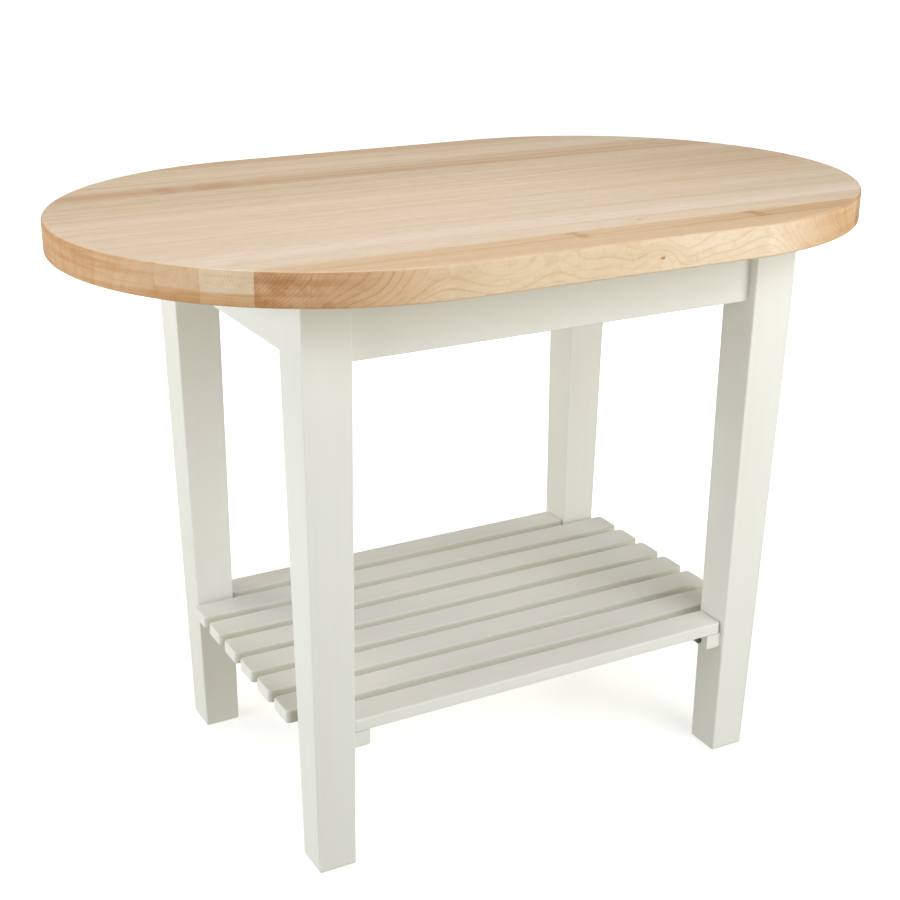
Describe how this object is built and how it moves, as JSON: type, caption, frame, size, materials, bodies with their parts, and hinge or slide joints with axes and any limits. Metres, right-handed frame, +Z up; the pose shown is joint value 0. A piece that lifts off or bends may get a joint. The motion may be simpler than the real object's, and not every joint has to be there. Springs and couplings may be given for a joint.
{
  "type": "butcher block table",
  "caption": "Oval edge-grain butcher block top on a painted base with square tapered legs, aprons and a low slatted shelf, for standing work.",
  "frame": {"origin": "on the floor under the middle of the table", "axes": "+X along the length of the top, +Y across its width with the front at -Y, +Z up"},
  "size_m": [1.2192, 0.762, 0.889],
  "materials": {
    "maple": "oiled satin maple, edge grain",
    "maple_dark": "oiled satin maple, darker staves",
    "painted_wood": "satin warm white paint on hardwood",
    "zinc_steel": "zinc-plated steel",
    "dark_steel": "dark steel bolt heads and washers"
  },
  "bodies": {
    "root": {"apron_back": "painted_wood", "apron_front": "painted_wood", "apron_left_end": "painted_wood", "apron_right_end": "painted_wood", "bracket_screws": "zinc_steel", "cleat_bolt_washers": "dark_steel", "cleat_bolts": "dark_steel", "clip_apron_screws": "zinc_steel", "clip_top_screws": "zinc_steel", "clip_top_washers": "zinc_steel", "corner_bracket_back_left": "zinc_steel", "corner_bracket_back_right": "zinc_steel", "corner_bracket_front_left": "zinc_steel", "corner_bracket_front_right": "zinc_steel", "hanger_bolts": "zinc_steel", "hanger_nuts": "zinc_steel", "hanger_washers": "zinc_steel", "leg_back_left": "painted_wood", "leg_back_right": "painted_wood", "leg_front_left": "painted_wood", "leg_front_right": "painted_wood", "shelf_cleat_left": "painted_wood", "shelf_cleat_right": "painted_wood", "shelf_slat_1": "painted_wood", "shelf_slat_2": "painted_wood", "shelf_slat_3": "painted_wood", "shelf_slat_4": "painted_wood", "shelf_slat_5": "painted_wood", "shelf_slat_6": "painted_wood", "shelf_slat_7": "painted_wood", "shelf_slat_8": "painted_wood", "slat_screws": "zinc_steel", "top_clip_back_left": "zinc_steel", "top_clip_back_right": "zinc_steel", "top_clip_front_left": "zinc_steel", "top_clip_front_right": "zinc_steel", "top_clip_left_end": "zinc_steel", "top_clip_right_end": "zinc_steel", "top_stave_01": "maple", "top_stave_02": "maple_dark", "top_stave_03": "maple", "top_stave_04": "maple", "top_stave_05": "maple", "top_stave_06": "maple", "top_stave_07": "maple", "top_stave_08": "maple", "top_stave_09": "maple", "top_stave_10": "maple", "top_stave_11": "maple", "top_stave_12": "maple", "top_stave_13": "maple_dark", "top_stave_14": "maple", "top_stave_15": "maple", "top_stave_16": "maple", "top_stave_17": "maple"}
  },
  "joints": []
}
